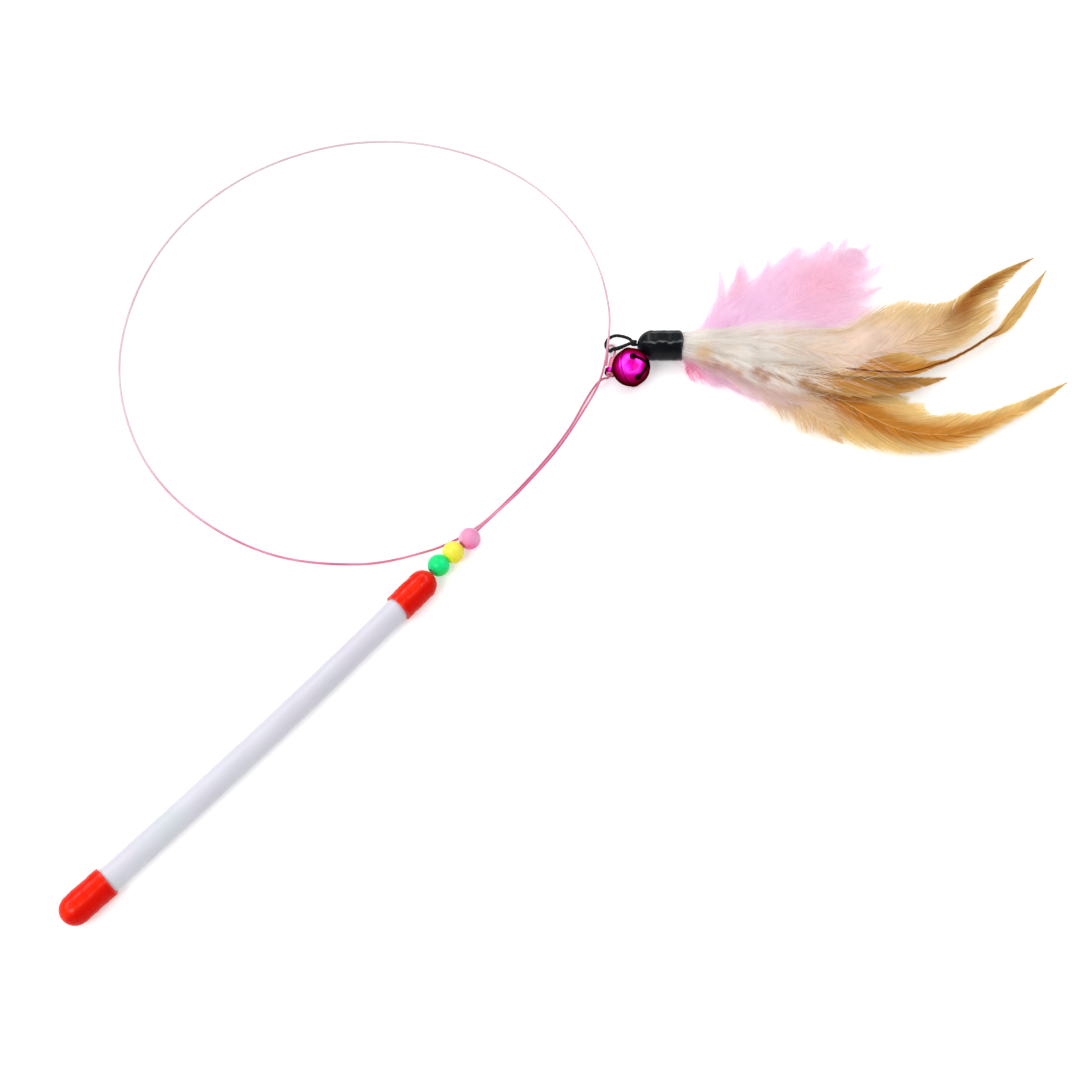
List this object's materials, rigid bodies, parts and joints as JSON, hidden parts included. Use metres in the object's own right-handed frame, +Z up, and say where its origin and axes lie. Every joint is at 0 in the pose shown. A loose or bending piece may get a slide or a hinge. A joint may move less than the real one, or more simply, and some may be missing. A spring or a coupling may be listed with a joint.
{
  "type": "cat teaser wand",
  "caption": "Cat teaser wand: a plastic tube handle with a looped spring wire, sliding beads, a jingle bell and a feather lure on an elastic loop.",
  "frame": {"origin": "on the handle tube's axis at the mouth of the butt cap, which is the rear end of the bare grip", "axes": "+X along the handle from the butt cap towards the beads, +Z up from the floor that the wand lies on, +Y to the side on which the wire makes its loop"},
  "size_m": [0.4387, 0.3212, 0.0154],
  "materials": {
    "handle_pearl": "smooth pearl white tube with a faint iridescent sheen",
    "cap_red": "dipped red vinyl, glossy and slightly uneven",
    "plug_white": "moulded white plug",
    "wire_pink": "pink coated spring steel wire, satin",
    "sleeve_pink": "soft pink vinyl tubing",
    "bead_green": "smooth glossy moulded bead",
    "bead_yellow": "smooth glossy moulded bead",
    "bead_pink": "smooth glossy moulded bead",
    "bell_magenta": "stamped sheet steel with metallic magenta lacquer",
    "pea_steel": "plain steel ball",
    "elastic_black": "covered black elastic cord",
    "cap_black": "dipped black vinyl, glossy, wrinkled along one side",
    "thread_white": "wound cotton thread",
    "feather_ginger": "ginger feather, dark at the shaft and cream at the edge",
    "feather_cream": "cream feather fringe with ginger tips",
    "down_white": "loose cream white down",
    "plume_pink": "dyed pale pink down",
    "plume_hot_pink": "dyed hot pink down"
  },
  "bodies": {
    "wand": {"handle_tube": "handle_pearl", "butt_cap": "cap_red", "tip_cap": "cap_red", "wire_plug": "plug_white", "wire_run": "wire_pink", "wire": "wire_pink", "eye_sleeve": "sleeve_pink"},
    "green_bead": {"bead_green": "bead_green"},
    "yellow_bead": {"bead_yellow": "bead_yellow"},
    "pink_bead": {"bead_pink": "bead_pink"},
    "bell": {"bell_crown": "bell_magenta", "bell_base": "bell_magenta", "bell_ear": "bell_magenta"},
    "pea": {"bell_pea": "pea_steel"},
    "loop": {"elastic_loop": "elastic_black"},
    "lure": {"cord_knot": "elastic_black", "cord_tail": "elastic_black", "feather_cap": "cap_black", "quill_binding": "thread_white", "ginger_feather_1": "feather_ginger", "ginger_feather_2": "feather_ginger", "ginger_feather_3": "feather_ginger", "ginger_feather_4": "feather_ginger", "ginger_feather_5": "feather_cream", "white_feather_1": "down_white", "white_feather_2": "down_white", "white_feather_3": "down_white", "pink_plume_1": "plume_pink", "pink_plume_2": "plume_pink", "pink_plume_3": "plume_hot_pink"}
  },
  "joints": [
    {"name": "green_bead_slide", "type": "slide", "parent": "wand", "child": "green_bead", "axis": [0.9997, 0.0227, 0], "range_m": [-0.0006, 0.006]},
    {"name": "yellow_bead_slide", "type": "slide", "parent": "green_bead", "child": "yellow_bead", "axis": [0.9997, 0.0227, 0], "range_m": [0, 0.006]},
    {"name": "pink_bead_slide", "type": "slide", "parent": "yellow_bead", "child": "pink_bead", "axis": [0.9997, 0.0227, 0], "range_m": [-0.0006, 0.006]},
    {"name": "bell_swing", "type": "hinge", "parent": "wand", "child": "bell", "pos_m": [0.2648, 0.02092, -0.0034], "axis": [0.8452, 0.5344, 0], "range_deg": [-30, 120]},
    {"name": "pea_rattle", "type": "slide", "parent": "bell", "child": "pea", "axis": [0, 0, 1], "range_m": [0, 0.0098]},
    {"name": "loop_turn", "type": "hinge", "parent": "wand", "child": "loop", "pos_m": [0.27208, 0.02736, -0.0034], "axis": [0, 0, 1], "range_deg": [-1, 30]},
    {"name": "lure_tilt", "type": "hinge", "parent": "loop", "child": "lure", "pos_m": [0.27866, 0.02148, 0.0007], "axis": [0.7175, 0.6966, 0], "range_deg": [-25, 60]}
  ]
}
